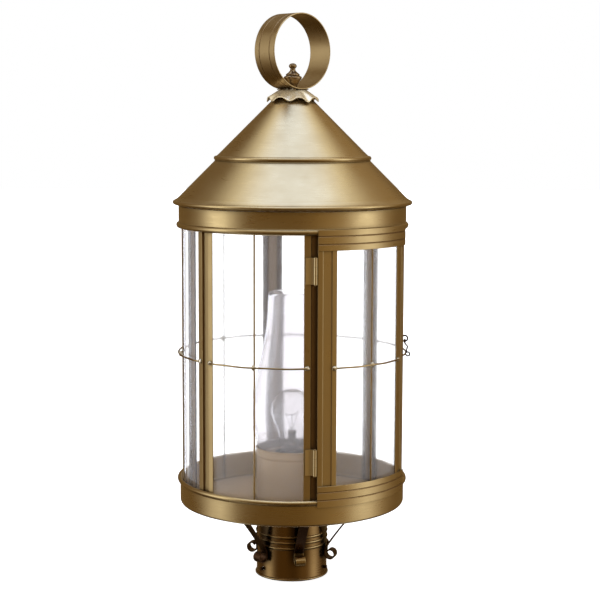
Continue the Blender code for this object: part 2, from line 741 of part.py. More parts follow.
for old in list(bpy.data.objects):
    bpy.data.objects.remove(old, do_unlink=True)
PARTS = new_collection("post_top_lantern")
CUTTERS = new_collection("cutters")
BRASS = finish("antique_brass", (0.42, 0.27, 0.10), 1.0, 0.32)
BRASS_DARK = finish("dark_brass", (0.26, 0.15, 0.05), 1.0, 0.36)
BRONZE = finish("bronze", (0.05, 0.03, 0.02), 1.0, 0.40)
STEEL = finish("zinc_steel", (0.55, 0.55, 0.54), 1.0, 0.35)
MOULDING = finish("black_moulding", (0.02, 0.02, 0.02), 0.0, 0.45)
GLASS = finish("clear_glass", (0.96, 0.97, 0.97), 0.0, 0.02, clear=1.0)

make_collar()
make_set_screws()
make_brackets()
make_pan()
make_posts()
make_fixed_panels()
make_top_band()
make_door_frame()
make_hinges()
make_latch()
make_lower_cone()
make_upper_cone()
make_petal_cap()
make_hoop()
make_finial()
make_finial_nut()
make_pedestal()
make_socket()
make_socket_bolt()
make_bulb()
make_chimney()
shade_smooth_all()
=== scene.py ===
"""The looks of the post-top lantern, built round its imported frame.

Lengths are in metres. The origin is the centre of the collar's mouth, +Z is up and the door faces
-Y. Bearings are in degrees from the door's centre line, positive towards +X.
"""

import math

import bmesh
import bpy
from mathutils import Matrix, Vector, noise


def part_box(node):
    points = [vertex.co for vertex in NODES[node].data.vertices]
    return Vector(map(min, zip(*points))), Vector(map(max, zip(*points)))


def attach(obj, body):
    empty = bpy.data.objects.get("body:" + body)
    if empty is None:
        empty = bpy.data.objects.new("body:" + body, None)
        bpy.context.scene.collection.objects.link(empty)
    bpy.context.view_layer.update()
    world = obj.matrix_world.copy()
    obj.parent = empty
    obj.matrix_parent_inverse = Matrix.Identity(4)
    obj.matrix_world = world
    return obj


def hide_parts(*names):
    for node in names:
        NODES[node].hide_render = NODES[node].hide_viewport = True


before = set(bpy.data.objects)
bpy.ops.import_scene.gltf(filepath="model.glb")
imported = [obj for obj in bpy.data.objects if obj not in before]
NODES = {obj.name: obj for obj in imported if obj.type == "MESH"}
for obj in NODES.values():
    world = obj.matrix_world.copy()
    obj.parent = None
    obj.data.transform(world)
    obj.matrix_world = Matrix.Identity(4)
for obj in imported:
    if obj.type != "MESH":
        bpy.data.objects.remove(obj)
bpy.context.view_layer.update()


def heights(node):
    """The lowest and the highest point of a CAD node."""
    low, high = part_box(node)
    return low.z, high.z


UP = Vector((0, 0, 1))
ROUND = 192  # faces round a large turned piece
PANELS = 6
PANEL = 360 / PANELS

# The camera.
CAMERA_BEARING = -41.5
CAMERA_AWAY = 1.719
CAMERA_ASIDE = 0.0087
CAMERA_HEIGHT = 0.5223
CAMERA_PITCH = -6.92
CAMERA_ROLL = 0.17
CAMERA_LENS = 92.34

# What the metal mirrors, in linear light, and where the side lamps stand, in radians from the camera.
ROOM_DARK = (0.20, 0.125, 0.045)
ROOM_SIDE = (2.10, 2.20, 2.30)
ROOM_HIGH = (1.45, 1.50, 1.45)
ROOM_TOP = (1.62, 2.10, 3.60)
ROOM_FILL = (0.40, 0.28, 0.13)
ROOM_LOW = (0.07, 0.042, 0.015)
SIDE_TURN = 1.38
SIDE_SPREAD = 0.27

# The one real lamp, which hangs over the lantern.
LAMP_TURN = -25  # from the camera
LAMP_AWAY = 0.9
LAMP_HEIGHT = 2.1
LAMP_SIDE = 1.3
LAMP_POWER = 9
LAMP_AIM = 0.30

# The collar and the pan.
GAP = 0.0003  # between soldered pieces
PAN_UNDER, PAN_TOP = heights("pan")
PAN_R = 0.1268
COLLAR_R = 0.0400
COLLAR_WALL = 0.0011
SCREW_Z = 0.0100
SCREW_BEARINGS = (-95, 25, 145)
SCREW_HOLE_R = 0.0020
SCREW_HOLE_LONG = 0.010
RIB_HEIGHTS = (0.0497, 0.0434, 0.0369)
STRAP_WIDE = 0.0110
STRAP_THICK = 0.0013
FLOOR_Z = PAN_UNDER + 0.0012

# The cage.
POST_R = 0.1245
POST_WIDE = 0.0240
POST_SHEET = 0.0010
POST_GROOVE = 0.0024
GROOVE_HALF = 0.00475
STILE_WIDE = 0.0212
STILE_SHEET = 0.0009
STILE_GROOVE = 0.0012
STILE_GROOVE_HALF = 0.0052
PANE_R = 0.1225
PANE_THICK = 0.0016
PANE_HALF = 26.8
PANE_STEPS = 48
FLAT_PANE = 4  # the pane that the camera sees almost edge on is flatter glass
WIRE_R = 0.0010
UPRIGHT_R = 0.1239  # where a pane's upright wire stands
DOOR_UPRIGHT_R = 0.1286
DROP_LONG = 0.0031  # solder drops
DROP_WIDE = 0.0024
CROSS_Z = sum(heights("cross_wire_1")) / 2
CROSS_R = 0.1278
DOOR_HALF = 29.3
DOOR_R = 0.1310
STILE_R = 0.12975
DOOR_PANE_R = 0.1273
DOOR_PANE_HALF = 25.6
LATCH_BEARING = 33.4
LATCH_Z = 0.2755

# The roof and the hoop.
LOWER_SLOPE = 0.5564  # radius plus height anywhere on the lower cone
UPPER_SLOPE = 0.5595
HOOP_Z = 0.5900
HOOP_R = 0.0416
HOOP_WIDE = 0.0327
PETALS = 8
PETAL_TURN = -4.5
BALL_SQUASH = 1.36  # the finial's ball is this much wider than it is high

# The lamp.
PEDESTAL_R = 0.0400
PEDESTAL_TOP = 0.1386
PEDESTAL_RIM = 0.1470
BULB_R = 0.0240
BULB_TOP = heights("bulb")[1]
CHIMNEY_WALL = 0.0020


# ---------------------------------------------------------------- shapes


def polar(radius, bearing, z=0.0):
    turn = math.radians(bearing)
    return Vector((radius * math.sin(turn), -radius * math.cos(turn), z))


def degrees_of(length, radius):
    """The bearing that an arc of this length covers."""
    return math.degrees(length / radius)


def arc(centre, radius, start, end, steps=12):
    """Points round a centre in the plane, from one angle to another."""
    turns = [math.radians(start + (end - start) * i / steps) for i in range(steps + 1)]
    return [(centre[0] + radius * math.cos(t), centre[1] + radius * math.sin(t)) for t in turns]


def smooth_run(points, steps):
    """A Catmull-Rom curve through the points, with this many steps between each pair."""
    points = [Vector(p) for p in points]
    padded = [2 * points[0] - points[1], *points, 2 * points[-1] - points[-2]]
    run = []
    for a, b, c, d in zip(padded, padded[1:], padded[2:], padded[3:]):
        for i in range(steps):
            t = i / steps
            bend = 2 * a - 5 * b + 4 * c - d
            rest = 3 * b - a - 3 * c + d
            run.append(b + 0.5 * t * ((c - a) + t * (bend + t * rest)))
    return [*run, points[-1]]


def rounded(points, radius, steps=4):
    """The outline with each sharp corner rounded, and held on each side so that shading stays flat."""
    points = [Vector(p) for p in points]
    made = []
    count = len(points)
    for i, here in enumerate(points):
        before, after = points[i - 1] - here, points[(i + 1) % count] - here
        bend = math.pi - before.angle(after, math.pi)
        if bend < math.radians(12):
            made.append(here)
            continue
        reach = min(radius * math.tan(bend / 2), 0.34 * before.length, 0.34 * after.length)
        start, end = here + before.normalized() * reach, here + after.normalized() * reach
        made.append(start + before.normalized() * reach * 0.35)
        for k in range(steps + 1):
            t = k / steps
            made.append((1 - t) ** 2 * start + 2 * t * (1 - t) * here + t * t * end)
        made.append(end + after.normalized() * reach * 0.35)
    return made


def add(name, data):
    """A new object in the scene."""
    made = bpy.data.objects.new(name, data)
    bpy.context.scene.collection.objects.link(made)
    return made


def mesh_of(name, shape):
    """Turns a bmesh into a mesh, and frees it."""
    mesh = bpy.data.meshes.new(name)
    shape.to_mesh(mesh)
    shape.free()
    return mesh


def new_piece(name, body, material, shape, node=None):
    """A mesh piece from a bmesh, riding on its body and standing for its CAD node."""
    bmesh.ops.remove_doubles(shape, verts=shape.verts, dist=0.000002)
    bmesh.ops.recalc_face_normals(shape, faces=shape.faces)
    mesh = mesh_of(name, shape)
    mesh.materials.append(material)
    mesh.shade_smooth()
    mesh.set_sharp_from_angle(angle=math.radians(55))
    piece = add(name, mesh)
    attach(piece, body)
    if node:
        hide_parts(*([node] if isinstance(node, str) else node))
    return piece


def drilled(shape, places, radius, deep):
    """The shape with a round hole cut through it at each place, square to the axis."""
    bits = bmesh.new()
    for place in places:
        facing = place.xy.to_3d().to_track_quat("Z", "Y").to_matrix().to_4x4()
        size = {"radius1": radius, "radius2": radius, "depth": deep}
        matrix = Matrix.Translation(place) @ facing
        bmesh.ops.create_cone(bits, cap_ends=True, segments=32, matrix=matrix, **size)
    whole = add("undrilled", mesh_of("undrilled", shape))
    drill = add("drill", mesh_of("drill", bits))
    holes = whole.modifiers.new("Holes", "BOOLEAN")
    holes.operation = "DIFFERENCE"
    holes.solver = "EXACT"
    holes.object = drill
    bpy.context.view_layer.update()
    result = bmesh.new()
    result.from_object(whole, bpy.context.evaluated_depsgraph_get())
    for blank in (whole, drill):
        mesh = blank.data
        bpy.data.objects.remove(blank)
        bpy.data.meshes.remove(mesh)
    return result


def recoat(piece, material, wanted):
    """Gives another material to the faces that are wanted, judged by each face's centre and normal."""
    piece.data.materials.append(material)
    last = len(piece.data.materials) - 1
    for face in piece.data.polygons:
        if wanted(face.center, face.normal):
            face.material_index = last


def outward(centre, normal):
    """How far a face looks away from the axis, from -1 to 1."""
    return normal.xy.dot(centre.xy.normalized())


def skin(shape, rows, closed_run=False):
    """Faces between rows of points. Each row closes on itself, and the last row may join the first."""
    grid = [[shape.verts.new(p) for p in row] for row in rows]
    pairs = list(zip(grid, grid[1:]))
    if closed_run:
        pairs.append((grid[-1], grid[0]))
    for upper, lower in pairs:
        count = len(upper)
        for i in range(count):
            after = (i + 1) % count
            shape.faces.new((upper[i], lower[i], lower[after], upper[after]))
    return grid


def turned(outline, steps=ROUND, closed=True, matrix=None, wobble=0.0):
    """A bmesh of an outline of (radius, height) turned about the axis. wobble makes it out of round."""
    shape = bmesh.new()
    rows = []
    for r, z in outline:
        row = []
        for i in range(steps):
            bearing = 360 * i / steps
            place = polar(max(r, 0.000001), bearing, z)
            if wobble:
                grain = noise.noise(Vector((place.x * 28, place.y * 28, z * 28)))
                place = polar(r + wobble * grain, bearing, z)
            row.append(place)
        rows.append(row)
    skin(shape, rows, closed_run=closed)
    bmesh.ops.remove_doubles(shape, verts=shape.verts, dist=0.00001)
    if matrix:
        bmesh.ops.transform(shape, matrix=matrix, verts=shape.verts)
    return shape


def swept(outline, half, steps):
    """A bmesh of a closed outline of (radius, height) carried round the axis, with filled ends."""
    shape = bmesh.new()
    rows = []
    for i in range(steps + 1):
        bearing = half * (2 * i / steps - 1)
        rows.append([polar(r, bearing, z) for r, z in outline])
    grid = skin(shape, rows)
    shape.faces.new(grid[0])
    shape.faces.new(grid[-1])
    return shape


def extruded(plan, low, high, turn=0.0):
    """A bmesh of a closed plan raised from one height to another, with eased ends."""
    shape = bmesh.new()
    edge = 0.0002
    spin = Matrix.Rotation(math.radians(turn), 3, "Z")
    ends = [low, low + edge, low + 4 * edge, high - 4 * edge, high - edge, high]
    count = 10
    middle = [low + 4 * edge + (high - low - 8 * edge) * i / count for i in range(1, count)]
    rows = [[spin @ Vector((p[0], p[1], z)) for p in plan] for z in sorted(ends + middle)]
    grid = skin(shape, rows)
    shape.faces.new(grid[0])
    shape.faces.new(grid[-1])
    return shape


def tube(shape, points, radius, sides=12):
    """Adds a round wire along the points, with domed ends."""
    points = [Vector(p) for p in points]
    normal = None
    rows = []
    for i, here in enumerate(points):
        ahead = points[min(i + 1, len(points) - 1)] - points[max(i - 1, 0)]
        ahead.normalize()
        if normal is None:
            normal = ahead.orthogonal().normalized()
        normal = (normal - ahead * normal.dot(ahead)).normalized()
        side = ahead.cross(normal)
        turns = [2 * math.pi * k / sides for k in range(sides)]
        ring = [radius * (normal * math.cos(t) + side * math.sin(t)) for t in turns]
        if i == 0:
            rows.append([here - ahead * radius * 0.5 + 0.5 * p for p in ring])
        rows.append([here + p for p in ring])
        if i == len(points) - 1:
            rows.append([here + ahead * radius * 0.5 + 0.5 * p for p in ring])
    grid = skin(shape, rows)
    shape.faces.new(grid[0])
    shape.faces.new(grid[-1])


def drop(shape, place, along, out, long, wide, proud, seed):
    """Adds an uneven drop of solder that has run along a wire."""
    along, out = along.normalized(), out.normalized()
    side = out.cross(along)
    matrix = Matrix((along * long, side * wide, out * proud)).transposed().to_4x4()
    matrix.translation = place
    made = bmesh.ops.create_icosphere(shape, subdivisions=3, radius=1)["verts"]
    for vert in made:
        grain = noise.noise(vert.co * 1.3 + Vector((seed, seed * 2, 0)))
        vert.co *= 1 + 0.28 * grain
        vert.co = matrix @ vert.co


# ---------------------------------------------------------------- materials


class Tree:
    """A node tree, with short calls for the nodes used here."""

    def __init__(self, tree):
        self.tree = tree

    def node(self, kind, settings=None, **inputs):
        made = self.tree.nodes.new(kind)
        for name, value in (settings or {}).items():
            setattr(made, name, value)
        for name, value in inputs.items():
            self.feed(made.inputs[name.replace("_", " ")], value)
        return made

    def feed(self, socket, value):
        if isinstance(value, bpy.types.NodeSocket):
            self.tree.links.new(value, socket)
        else:
            socket.default_value = value

    def maths(self, operation, a, b=0.0):
        made = self.node("ShaderNodeMath", {"operation": operation})
        self.feed(made.inputs[0], a)
        self.feed(made.inputs[1], b)
        return made.outputs[0]

    def spread(self, value, low, high, to_low=0.0, to_high=1.0, kind="LINEAR"):
        made = self.node("ShaderNodeMapRange", {"interpolation_type": kind})
        for socket, number in zip(made.inputs, (value, low, high, to_low, to_high)):
            self.feed(socket, number)
        return made.outputs[0]

    def blend(self, share, a, b):
        made = self.node("ShaderNodeMix", {"data_type": "RGBA"})
        self.feed(made.inputs[0], share)
        self.feed(made.inputs[6], a if isinstance(a, bpy.types.NodeSocket) else (*a, 1))
        self.feed(made.inputs[7], b if isinstance(b, bpy.types.NodeSocket) else (*b, 1))
        return made.outputs[2]


class Nodes(Tree):
    """A material's node tree."""

    def __init__(self, name):
        self.material = bpy.data.materials.new(name)
        self.material.use_nodes = True
        super().__init__(self.material.node_tree)
        self.shader = self.tree.nodes["Principled BSDF"]
        self.output = self.tree.nodes["Material Output"]

    def noise(self, vector, scale, detail=4.0, rough=0.55):
        made = self.node("ShaderNodeTexNoise", Vector=vector, Scale=scale, Detail=detail, Roughness=rough)
        return made.outputs["Fac"]

    def place(self, grain):
        """Object coordinates stretched so that noise runs in streaks: round, up or with no grain."""
        place = self.node("ShaderNodeTexCoord").outputs["Object"]
        if grain == "none":
            return place
        parts = self.node("ShaderNodeSeparateXYZ", Vector=place).outputs
        flat = self.node("ShaderNodeCombineXYZ", X=parts[0], Y=parts[1])
        radius = self.node("ShaderNodeVectorMath", {"operation": "LENGTH"}, Vector=flat.outputs[0])
        if grain == "round":
            climb = self.maths("SUBTRACT", parts[2], radius.outputs["Value"])
            return self.stretched(parts[0], parts[1], climb, 0.06, 1.0)
        if grain == "hoop":
            return self.stretched(parts[0], parts[2], parts[1], 0.06, 1.0)
        return self.stretched(parts[0], parts[1], parts[2], 1.0, 0.03)

    def stretched(self, a, b, c, across, along):
        scaled = [self.maths("MULTIPLY", a, across), self.maths("MULTIPLY", b, across)]
        scaled.append(self.maths("MULTIPLY", c, along))
        return self.node("ShaderNodeCombineXYZ", X=scaled[0], Y=scaled[1], Z=scaled[2]).outputs[0]


def metal(name, bright, dark, rough, grain="round", tarnish_and_shade=0.6, bump=0.25, coat=0.25, bare=1.0,
          shaded=0):
    """Aged metal: fine streaks from working, soft clouds, pits, and darkening in creases that is partly
    tarnish and partly painted shade.

    bare is the share of the surface that is metal, and the rest is dull oxide. shaded is the number of
    straps round the piece; behind each of them the colour carries a painted shadow and reflection of the
    strap."""
    n = Nodes(name)
    place = n.place("none")
    streaks = n.noise(n.place(grain), 900.0, 5.0, 0.6)
    clouds = n.noise(place, 22.0, 3.0)
    specks = n.noise(place, 520.0, 2.0, 0.5)
    # Darkening in creases, found by an occlusion node: partly tarnish that gathers there, partly painted
    # shade. It also makes the creases rougher.
    creases = n.node("ShaderNodeAmbientOcclusion", {"samples": 6}, Distance=0.006).outputs["AO"]
    crease_tarnish_and_shade = n.spread(creases, 0.92, 0.45, 0.0, 1.0)
    colour = n.blend(n.spread(clouds, 0.30, 0.72, 0.0, 0.30), bright, dark)
    colour = n.blend(n.spread(streaks, 0.35, 0.70, 0.0, 0.08), colour, dark)
    colour = n.blend(n.spread(specks, 0.70, 0.78, 0.0, 0.30), colour, dark)
    tarnish_and_shade_colour = tuple(c * 0.28 for c in dark)
    colour = n.blend(n.maths("MULTIPLY", crease_tarnish_and_shade, tarnish_and_shade), colour, tarnish_and_shade_colour)
    # Painted shadow and reflection of the straps: the colour darkens behind each strap, less so near the
    # bottom.
    if shaded:
        parts = n.node("ShaderNodeSeparateXYZ", Vector=place).outputs
        turn = n.maths("ARCTAN2", parts[0], n.maths("MULTIPLY", parts[1], -1.0))
        around = n.maths("MULTIPLY", turn, shaded)
        painted_strap_shadow = n.spread(n.maths("MULTIPLY", n.maths("COSINE", around), -1.0), -0.6, 0.5, 0.0, 0.88)
        painted_strap_shadow = n.maths("MULTIPLY", painted_strap_shadow, n.spread(parts[2], 0.014, 0.030, 0.25, 1.0))
        colour = n.blend(painted_strap_shadow, colour, tuple(c * 0.22 for c in dark))
    n.feed(n.shader.inputs["Base Color"], colour)
    n.shader.inputs["Metallic"].default_value = bare
    worn = n.maths("ADD", n.spread(clouds, 0.3, 0.7, -0.04, 0.06), n.spread(streaks, 0.3, 0.7, -0.05, 0.05))
    total = n.maths("ADD", worn, n.spread(crease_tarnish_and_shade, 0.0, 1.0, rough, rough + 0.22))
    n.feed(n.shader.inputs["Roughness"], total)
    n.shader.inputs["Coat Weight"].default_value = coat
    n.shader.inputs["Coat Roughness"].default_value = 0.28
    waves = n.noise(place, 34.0, 2.0)
    height = n.maths("ADD", n.maths("MULTIPLY", streaks, 0.02), n.maths("MULTIPLY", waves, 0.9))
    height = n.maths("SUBTRACT", height, n.spread(specks, 0.70, 0.80, 0.0, 0.06))
    bumped = n.node("ShaderNodeBump", Strength=bump, Distance=0.0004, Height=height)
    n.feed(n.shader.inputs["Normal"], bumped.outputs[0])
    return n.material


def glass(name, tint, rough, wave, veil, bend=1.45):
    """Clear glass that lets lamps through, a little wavy, with a thin pale film on it."""
    n = Nodes(name)
    place = n.place("none")
    n.shader.inputs["Base Color"].default_value = (*tint, 1)
    n.shader.inputs["Transmission Weight"].default_value = 1.0
    n.shader.inputs["IOR"].default_value = bend
    roughness = n.spread(n.noise(place, 30.0, 3.0), 0.3, 0.7, rough * 0.8, rough * 1.2)
    n.feed(n.shader.inputs["Roughness"], roughness)
    bumped = n.node("ShaderNodeBump", Strength=0.3, Distance=wave, Height=n.noise(place, 26.0, 2.0))
    n.feed(n.shader.inputs["Normal"], bumped.outputs[0])
    film = n.node("ShaderNodeBsdfDiffuse", Color=(0.93, 0.90, 0.93, 1), Roughness=0.0)
    coated = n.node("ShaderNodeMixShader")
    dust = n.spread(n.noise(place, 90.0, 4.0), 0.35, 0.75, veil * 0.85, veil * 1.2)
    n.feed(coated.inputs[0], dust)
    n.feed(coated.inputs[1], n.shader.outputs[0])
    n.feed(coated.inputs[2], film.outputs[0])
    clear = n.node("ShaderNodeBsdfTransparent", Color=(0.93, 0.94, 0.94, 1))
    path = n.node("ShaderNodeLightPath")
    through = n.node("ShaderNodeMixShader")
    n.feed(through.inputs[0], path.outputs["Is Shadow Ray"])
    n.feed(through.inputs[1], coated.outputs[0])
    n.feed(through.inputs[2], clear.outputs[0])
    n.feed(n.output.inputs["Surface"], through.outputs[0])
    return n.material


def moulding(name):
    """Black phenolic with a fine orange-peel skin."""
    n = Nodes(name)
    place = n.place("none")
    colour = n.blend(n.noise(place, 60.0), (0.020, 0.018, 0.016), (0.045, 0.04, 0.036))
    n.feed(n.shader.inputs["Base Color"], colour)
    n.feed(n.shader.inputs["Roughness"], n.spread(n.noise(place, 240.0), 0.3, 0.7, 0.35, 0.5))
    bumped = n.node("ShaderNodeBump", Strength=0.2, Distance=0.0002, Height=n.noise(place, 700.0))
    n.feed(n.shader.inputs["Normal"], bumped.outputs[0])
    return n.material


BRIGHT, DARK = (0.53, 0.39, 0.185), (0.37, 0.25, 0.10)
BRASS = metal("antique_brass_spun", BRIGHT, DARK, 0.30)
BRASS_STRIP = metal("antique_brass_strip", BRIGHT, DARK, 0.32, grain="up")
BRASS_HOOP = metal("antique_brass_hoop", (0.47, 0.335, 0.155), (0.31, 0.205, 0.085), 0.32, grain="hoop")
BRASS_WIRE = metal("brass_wire", (0.44, 0.32, 0.15), (0.28, 0.19, 0.08), 0.22, grain="none", bump=0.15)
BRASS_RUBBED = metal("rubbed_brass", (0.66, 0.52, 0.28), (0.46, 0.33, 0.15), 0.34, grain="none")
# Painted sheen: the petal cap is a pale, partly dull brass, lighter than the rest, so that it looks brightly
# lit all over.
CAP_BRASS_PAINTED_SHEEN = metal("cap_brass_painted_sheen", (0.80, 0.68, 0.45), (0.62, 0.49, 0.28), 0.26, grain="none", tarnish_and_shade=0.25,
                  bare=0.6)
# Painted highlight: a lighter brass for the upward faces of the collar's ribs.
RIB_HIGHLIGHT_BRASS = metal("rib_painted_highlight", (0.47, 0.34, 0.16), (0.31, 0.21, 0.09), 0.30, coat=0.1, shaded=PANELS)
# Painted shade: a dark brass for the walls and floors of pressed grooves, where shade falls.
GROOVE_SHADE = metal("painted_groove_shade", (0.29, 0.18, 0.08), (0.17, 0.10, 0.042), 0.42, grain="none", coat=0.0)
FINIAL_BRASS = metal("finial_brass", (0.34, 0.23, 0.11), (0.18, 0.11, 0.05), 0.28, grain="round", tarnish_and_shade=0.8)
COLLAR_BRASS = metal("collar_brass", (0.25, 0.15, 0.054), (0.13, 0.07, 0.024), 0.22, tarnish_and_shade=0.85, coat=0.1,
                     shaded=PANELS)
INSIDE = metal("unpolished_inside", (0.30, 0.225, 0.155), (0.22, 0.165, 0.115), 0.5, grain="none", coat=0.0,
               bare=0.35)
DRUM = metal("pedestal_bronze", (0.48, 0.35, 0.22), (0.35, 0.25, 0.15), 0.42, coat=0.1, bare=0.3)
# Painted light: a pale, mostly dull brass far lighter than the rest, for the pan's inner wall, standing in
# for light that the roof and cage keep off it.
PAN_WALL_PAINTED_LIGHT = metal("pan_wall_painted_light", (0.95, 0.70, 0.42), (0.82, 0.59, 0.35), 0.45, coat=0.0, bare=0.15)
BRONZE = metal("dark_bronze", (0.085, 0.043, 0.022), (0.035, 0.019, 0.012), 0.28, grain="none", tarnish_and_shade=0.5,
               coat=0.0)
SOLDER = metal("solder", (0.74, 0.66, 0.50), (0.50, 0.40, 0.24), 0.24, grain="none", tarnish_and_shade=0.3, bump=0.5)
STEEL = metal("plated_steel", (0.56, 0.56, 0.55), (0.40, 0.40, 0.39), 0.32, grain="none")
TUNGSTEN = metal("lamp_wire", (0.30, 0.30, 0.31), (0.20, 0.20, 0.20), 0.30, grain="none")
PANE_GLASS = glass("cage_glass", (0.99, 0.99, 0.99), 0.10, 0.00012, 0.02, 1.25)
FLAT_GLASS = glass("cage_glass_flat", (0.99, 0.99, 0.99), 0.04, 0.00005, 0.02, 1.15)
CHIMNEY_GLASS = glass("chimney_glass", (0.965, 0.95, 0.97), 0.08, 0.00022, 0.11)
BULB_GLASS = glass("bulb_glass", (0.99, 0.985, 0.99), 0.07, 0.00010, 0.03)
PHENOLIC = moulding("socket_moulding")


# ---------------------------------------------------------------- collar, brackets and pan


def make_collar():
    top = PAN_UNDER - GAP
    lip = (COLLAR_R + 0.0004, 0.0012)
    outline = [(COLLAR_R, top)]
    for height in RIB_HEIGHTS:
        outline += [(COLLAR_R, height + 0.0021), *arc((COLLAR_R - 0.0008, height), 0.0019, 62, -62, 8)]
        outline += [(COLLAR_R, height - 0.0021)]
    outline += [(COLLAR_R, 0.0048), (COLLAR_R + 0.0003, 0.0030), *arc(lip, 0.0012, 60, -90, 8)]
    inner = COLLAR_R - COLLAR_WALL
    outline += [(inner + 0.0006, 0.0), (inner, 0.0030), (inner, top)]
    shape = turned(rounded(outline, 0.0004), 144)
    places = [polar(COLLAR_R, bearing, SCREW_Z) for bearing in SCREW_BEARINGS]
    shape = drilled(shape, places, SCREW_HOLE_R, SCREW_HOLE_LONG)
    collar = new_piece("collar_shell", "lantern", COLLAR_BRASS, shape, "collar")
    # Painted highlight on the upward faces of each rib's crest.
    recoat(collar, RIB_HIGHLIGHT_BRASS, lambda at, n: at.xy.length > COLLAR_R + 0.00075 and 0.0 < n.z < 0.62)


def strap_line():
    """The strap's line in its own plane: a foot under the pan, a slope, and a curl at the collar."""
    foot = PAN_UNDER - GAP - STRAP_THICK / 2
    inner = COLLAR_R + STRAP_THICK / 2 + 0.0004
    line = [(0.0915, foot), (0.0870, foot), (0.0835, foot - 0.0002), (0.0806, foot - 0.0016)]
    line += [(0.0700, foot - 0.0139), (0.0560, foot - 0.0315)]
    line += [(inner + 0.0019, 0.0348), (inner + 0.0002, 0.0305)]
    curl = []
    for i in range(24):
        share = i / 23
        angle = math.radians(180 + 330 * share)
        radius = 0.0060 - 0.0021 * max(0.0, share - 0.35) / 0.65
        curl.append((inner + 0.0060 + radius * math.cos(angle), 0.0260 + radius * math.sin(angle)))
    return smooth_run(line, 6)[:-1] + smooth_run(curl, 2)


def make_bracket(number):
    """A flat strap with soft edges, and the rivet that holds its foot to the pan."""
    bearing = PANEL / 2 + PANEL * (number - 1)
    out = polar(1, bearing)
    across = out.cross(UP)
    corners = ((-0.5, -0.5), (0.5, -0.5), (0.5, 0.5), (-0.5, 0.5))
    section = rounded([(a * STRAP_WIDE, b * STRAP_THICK) for a, b in corners], 0.0005)
    line = strap_line()
    rows = []
    for i, here in enumerate(line):
        ahead = (line[min(i + 1, len(line) - 1)] - line[max(i - 1, 0)]).normalized()
        normal = out * -ahead.y + UP * ahead.x
        centre = out * here.x + UP * here.y
        rows.append([centre + across * a + normal * b for a, b in section])
    shape = bmesh.new()
    grid = skin(shape, rows)
    shape.faces.new(grid[0])
    shape.faces.new(grid[-1])
    node = f"scroll_bracket_{number}"
    strap = new_piece(f"scroll_strap_{number}", "lantern", BRONZE, shape, node)
    # Painted highlight: the curl of the front strap is in lighter brass where the other straps stay dark
    # bronze.
    if number == PANELS:
        recoat(strap, BRASS_WIRE, lambda at, n: at.z < 0.0335)
    under = PAN_UNDER - GAP - STRAP_THICK
    head = [(0.000001, -0.0013), (0.0012, -0.0012), (0.0020, -0.0008), (0.0024, 0.0)]
    place = Matrix.Translation(polar(0.0878, bearing, under))
    rivet = turned(smooth_run(head, 3), 20, closed=False, matrix=place)
    new_piece(f"strap_rivet_{number}", "lantern", BRONZE, rivet)


def make_pan():
    bead = (PAN_R + 0.0004, PAN_TOP - 0.0026)
    inner = PAN_R - 0.0012
    outline = [(inner, PAN_TOP - 0.0006), *arc(bead, 0.0026, 100, -70, 12)]
    outline += [(PAN_R, bead[1] - 0.0036), (PAN_R, PAN_UNDER + 0.0024)]
    outline += [(PAN_R - 0.0007, PAN_UNDER + 0.0007), (PAN_R - 0.0026, PAN_UNDER)]
    outline += [(0.0053, PAN_UNDER), (0.0053, FLOOR_Z), (inner - 0.0012, FLOOR_Z), (inner, FLOOR_Z + 0.0012)]
    shape = turned(rounded(outline, 0.0006))
    pan = new_piece("pan_shell", "lantern", BRASS, shape, "pan")
    recoat(pan, DRUM, lambda at, n: at.xy.length < inner + 0.0001)
    # The inner wall gets painted light.
    recoat(pan, PAN_WALL_PAINTED_LIGHT, lambda at, n: outward(at, n) < -0.5 and at.xy.length > inner - 0.002)


# ---------------------------------------------------------------- the cage


def channel(out_radius, wide, sheet, groove_half, groove_deep):
    """The plan of a strip bent round the axis, with a groove pressed down its middle."""
    edge = degrees_of(wide / 2, out_radius)
    mouth = degrees_of(groove_half, out_radius)
    wall = degrees_of(sheet, out_radius)
    floor, back = out_radius - groove_deep, out_radius - sheet
    outside = [(out_radius, edge), (out_radius, (edge + mouth) / 2), (out_radius, mouth)]
    outside += [(floor, mouth - 0.3)]
    inside = [(floor - sheet, mouth - 0.3 + wall), (back, mouth + wall)]
    inside += [(back, (edge + mouth) / 2), (back, edge)]
    left = [(r, -b) for r, b in outside]
    right = [(r, b) for r, b in reversed(outside)]
    back_right = [(r, b) for r, b in reversed(inside)]
    back_left = [(r, -b) for r, b in inside]
    points = [polar(r, b) for r, b in left + right + back_right + back_left]
    return rounded([(p.x, p.y) for p in points], 0.0005, steps=3)


def grooved_strip(name, body, plan, low, high, turn, out_radius, node):
    """A strip with painted shade down the sides of its groove and dull oxide on its back."""
    piece = new_piece(name, body, BRASS_STRIP, extruded(plan, low, high, turn=turn), node)
    recoat(piece, INSIDE, lambda at, n: outward(at, n) < -0.3)
    # Painted shade down the walls of the groove.
    recoat(piece, GROOVE_SHADE, lambda at, n: abs(outward(at, n)) < 0.6 and at.xy.length < out_radius - 0.0003
           and abs(n.z) < 0.5)
    return piece


def make_posts():
    low, high = heights("post_1")
    plan = channel(POST_R, POST_WIDE, POST_SHEET, GROOVE_HALF, POST_GROOVE)
    for number in range(1, PANELS + 1):
        turn = -PANEL / 2 + PANEL * (number - 1)
        name = f"post_strip_{number}"
        post = grooved_strip(name, "lantern", plan, low, high, turn, POST_R, f"post_{number}")
        if number == 1:
            # Painted shade: the floor of this post's groove, beside the door, is dark.
            recoat(post, GROOVE_SHADE, lambda at, n: POST_R - 0.0027 < at.xy.length < POST_R - 0.0018
                   and outward(at, n) > 0.5)  # the floor of its groove


